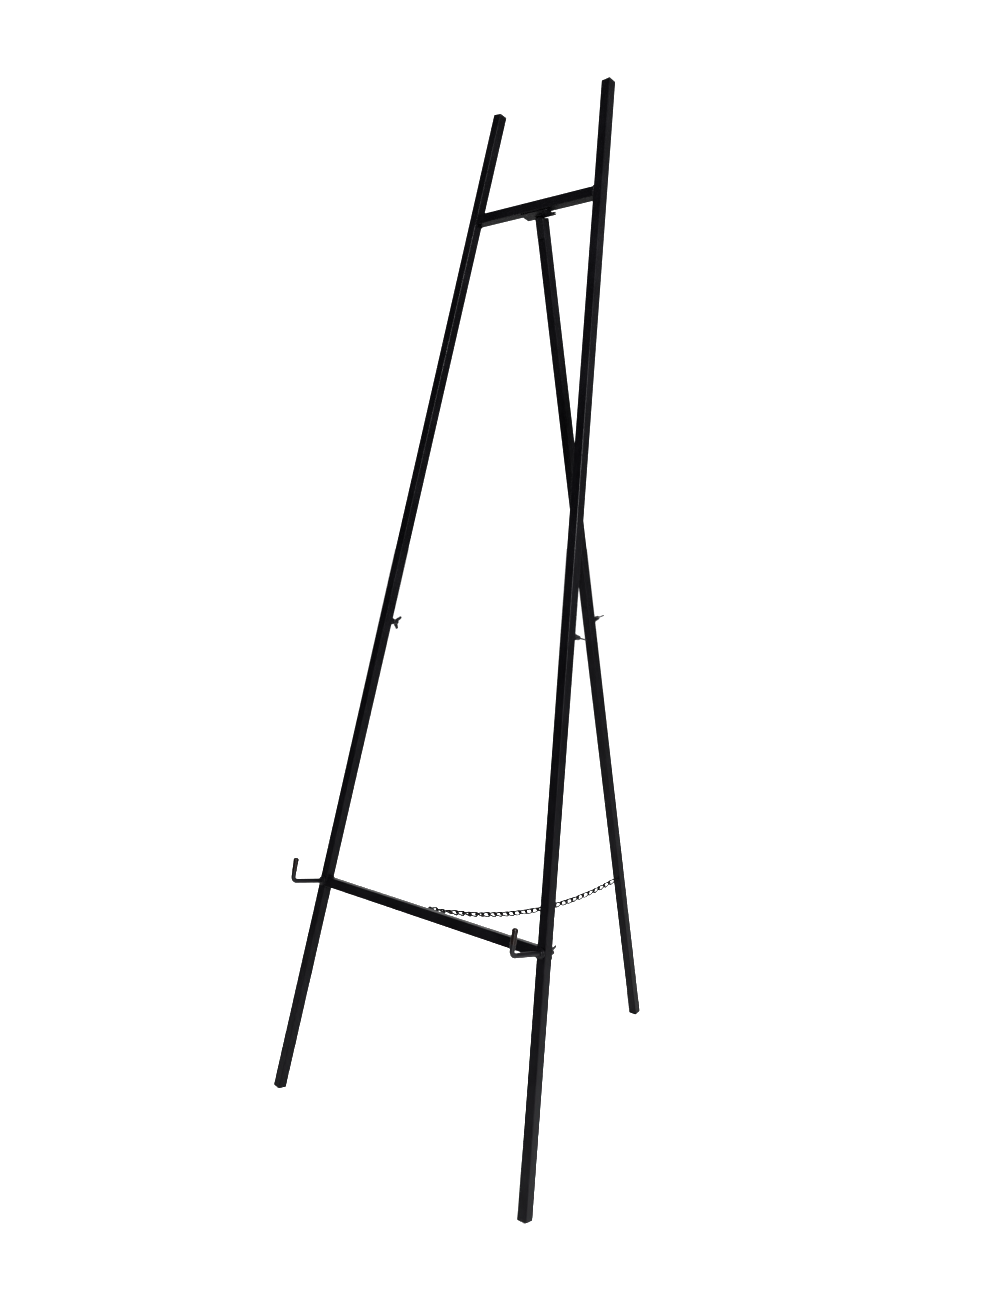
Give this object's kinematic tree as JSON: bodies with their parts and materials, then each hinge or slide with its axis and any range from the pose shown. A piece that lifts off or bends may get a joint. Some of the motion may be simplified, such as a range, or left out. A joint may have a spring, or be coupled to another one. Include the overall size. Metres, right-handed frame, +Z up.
{
  "type": "tripod field easel",
  "caption": "Folding display easel: splayed square-tube front legs joined by crossbars, hinged rear leg, stay chain and hooks for a board.",
  "frame": {"origin": "on the floor, in the centre plane, halfway between the front feet and the rear foot (bottom centre of the bounding box)", "axes": "+Z up, the front where the board rests faces -Y, +X to the right as seen from the front"},
  "size_m": [0.5564, 0.6477, 1.605],
  "materials": {
    "frame_coat": "satin black powder coat",
    "hook": "satin black powder coat",
    "fastener": "black coated die casting, slightly glossier than the tube",
    "hinge": "black painted pressed steel",
    "sleeve": "bare drawn steel, hidden in the joints",
    "chain": "blackened steel wire",
    "cap_plastic": "black moulded plastic",
    "tip_plastic": "glossy dark vinyl with a slight brown tint"
  },
  "bodies": {
    "frame": {"left_lower_leg": "frame_coat", "left_upper_leg": "frame_coat", "left_joint_sleeve": "sleeve", "left_foot_cap": "cap_plastic", "left_top_cap": "cap_plastic", "left_weld_nut": "fastener", "right_lower_leg": "frame_coat", "right_upper_leg": "frame_coat", "right_joint_sleeve": "sleeve", "right_foot_cap": "cap_plastic", "right_top_cap": "cap_plastic", "right_weld_nut": "fastener", "top_crossbar": "frame_coat", "lower_crossbar": "frame_coat", "hinge_bar_leaf": "hinge", "hinge_pin": "hinge", "bar_chain_eye": "chain"},
    "rear_leg": {"rear_lower_leg": "frame_coat", "rear_upper_leg": "frame_coat", "rear_joint_sleeve": "sleeve", "rear_foot_cap": "cap_plastic", "rear_top_cap": "cap_plastic", "rear_weld_nut": "fastener", "hinge_leg_leaf": "hinge", "leg_chain_eye": "chain"},
    "left_hook": {"left_hook": "hook", "left_hook_collar": "hook", "left_hook_tip": "tip_plastic"},
    "right_hook": {"right_hook": "hook", "right_hook_collar": "hook", "right_hook_tip": "tip_plastic"},
    "left_hook_nut": {"left_hook_wing_nut": "fastener"},
    "right_hook_nut": {"right_hook_wing_nut": "fastener"},
    "left_wing_bolt": {"left_wing_bolt": "fastener"},
    "right_wing_bolt": {"right_wing_bolt": "fastener"},
    "rear_wing_bolt": {"rear_wing_bolt": "fastener"},
    "chain_span_1": {"chain_span_1": "chain"},
    "chain_span_2": {"chain_span_2": "chain"},
    "chain_span_3": {"chain_span_3": "chain"},
    "chain_span_4": {"chain_span_4": "chain"},
    "chain_span_5": {"chain_span_5": "chain"}
  },
  "joints": [
    {"name": "rear_leg_fold", "type": "hinge", "parent": "frame", "child": "rear_leg", "pos_m": [0, 0.03049, 1.41851], "axis": [1, 0, 0], "range_deg": [-23.9, 0], "deforming": ["chain_span_1", "chain_span_2", "chain_span_3", "chain_span_4", "chain_span_5"]},
    {"name": "left_hook_turn", "type": "hinge", "parent": "frame", "child": "left_hook", "pos_m": [-0.23647, -0.24494, 0.34492], "axis": [0, -0.9741, 0.226], "continuous": true},
    {"name": "left_hook_nut_spin", "type": "hinge", "parent": "frame", "child": "left_hook_nut", "pos_m": [-0.23647, -0.22926, 0.34128], "axis": [0, 0.9741, -0.226], "continuous": true},
    {"name": "left_wing_bolt_spin", "type": "hinge", "parent": "frame", "child": "left_wing_bolt", "pos_m": [-0.19356, -0.1293, 0.77264], "axis": [0, 0.9741, -0.226], "continuous": true},
    {"name": "right_hook_turn", "type": "hinge", "parent": "frame", "child": "right_hook", "pos_m": [0.23647, -0.24494, 0.34492], "axis": [0, -0.9741, 0.226], "continuous": true},
    {"name": "right_hook_nut_spin", "type": "hinge", "parent": "frame", "child": "right_hook_nut", "pos_m": [0.23647, -0.22926, 0.34128], "axis": [0, 0.9741, -0.226], "continuous": true},
    {"name": "right_wing_bolt_spin", "type": "hinge", "parent": "frame", "child": "right_wing_bolt", "pos_m": [0.19356, -0.1293, 0.77264], "axis": [0, 0.9741, -0.226], "continuous": true},
    {"name": "rear_wing_bolt_spin", "type": "hinge", "parent": "rear_leg", "child": "rear_wing_bolt", "pos_m": [0, 0.1704, 0.76508], "axis": [0, 0.9803, 0.1977], "continuous": true},
    {"name": "chain_span_1_swing", "type": "hinge", "parent": "frame", "child": "chain_span_1", "pos_m": [-0.00695, -0.21895, 0.34425], "axis": [1, 0, 0], "range_deg": [-88.71, 0]},
    {"name": "chain_span_2_swing", "type": "hinge", "parent": "chain_span_1", "child": "chain_span_2", "pos_m": [-0.00461, -0.10401, 0.30489], "axis": [1, 0, 0], "range_deg": [-8.41, 0]},
    {"name": "chain_span_3_swing", "type": "hinge", "parent": "chain_span_2", "child": "chain_span_3", "pos_m": [-0.00187, 0.03013, 0.27883], "axis": [1, 0, 0], "range_deg": [0, 108.52]},
    {"name": "chain_span_5_swing", "type": "hinge", "parent": "rear_leg", "child": "chain_span_5", "pos_m": [0.00245, 0.24235, 0.28005], "axis": [1, 0, 0], "range_deg": [0, 97.58]},
    {"name": "chain_span_4_swing", "type": "hinge", "parent": "chain_span_5", "child": "chain_span_4", "pos_m": [0.0006, 0.15147, 0.27319], "axis": [1, 0, 0], "range_deg": [0, 6.98]}
  ],
  "couplings": [
    {"joint": "chain_span_1_swing", "follows": "rear_leg_fold", "ratio": 3.6908},
    {"joint": "chain_span_2_swing", "follows": "rear_leg_fold", "ratio": 0.33077},
    {"joint": "chain_span_3_swing", "follows": "rear_leg_fold", "ratio": -4.5195},
    {"joint": "chain_span_5_swing", "follows": "rear_leg_fold", "ratio": -4.0621},
    {"joint": "chain_span_4_swing", "follows": "rear_leg_fold", "ratio": -0.27104}
  ]
}
